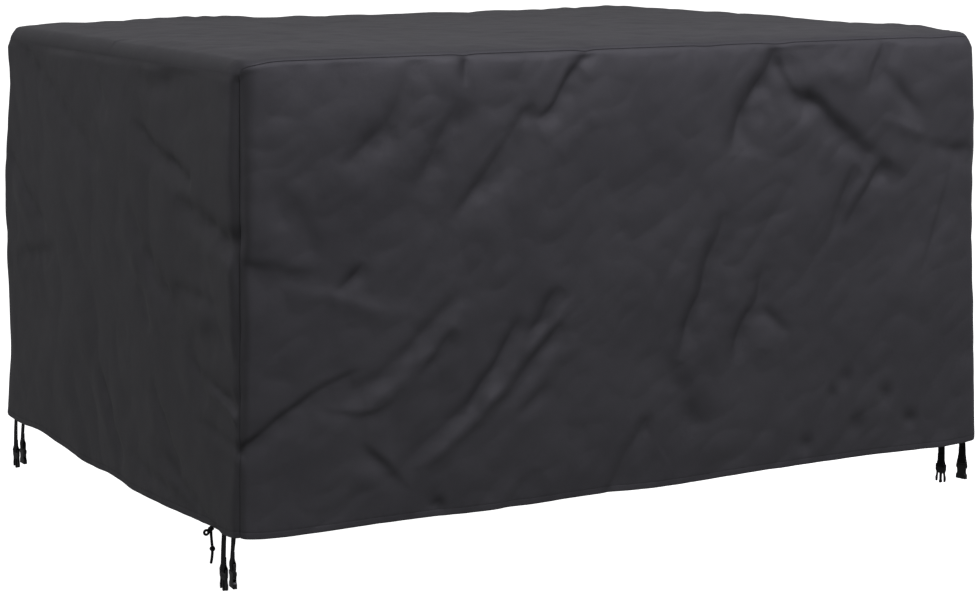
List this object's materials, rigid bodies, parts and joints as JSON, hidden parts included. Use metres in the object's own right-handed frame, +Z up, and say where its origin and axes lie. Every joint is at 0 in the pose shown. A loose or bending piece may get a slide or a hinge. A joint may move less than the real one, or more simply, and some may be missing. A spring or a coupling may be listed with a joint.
{
  "type": "patio furniture cover",
  "caption": "Rectangular fitted cover of coated cloth for garden furniture, open below, with buckle straps at the corners and a drawcord in the hem.",
  "frame": {"origin": "underside of the top panel at its middle, where the cover rests on the furniture", "axes": "+X along the long front towards the right, +Y from the front to the back, +Z up"},
  "size_m": [1.8195, 1.3251, 1.0417],
  "materials": {
    "cloth": "black water-repellent coated woven cloth with a dull sheen and soft creases",
    "webbing": "black ribbed webbing",
    "buckle_plastic": "black moulded plastic with a fine satin grain",
    "drawcord": "black braided cord"
  },
  "bodies": {
    "root": {"panel_top": "cloth", "panel_front": "cloth", "panel_back": "cloth", "panel_left": "cloth", "panel_right": "cloth", "strap_near_left_female": "webbing", "strap_near_left_male": "webbing", "strap_far_left_female": "webbing", "strap_far_left_male": "webbing", "strap_near_right_female": "webbing", "strap_near_right_male": "webbing", "strap_far_right_female": "webbing", "strap_far_right_male": "webbing", "buckle_near_left_female": "buckle_plastic", "buckle_near_left_male": "buckle_plastic", "buckle_far_left_female": "buckle_plastic", "buckle_far_left_male": "buckle_plastic", "buckle_near_right_female": "buckle_plastic", "buckle_near_right_male": "buckle_plastic", "buckle_far_right_female": "buckle_plastic", "buckle_far_right_male": "buckle_plastic", "drawcord_hem_knot": "drawcord", "drawcord_loop": "drawcord", "drawcord_tail_upper": "drawcord", "drawcord_tail_knot": "drawcord", "drawcord_tail_lower": "drawcord"}
  },
  "joints": []
}
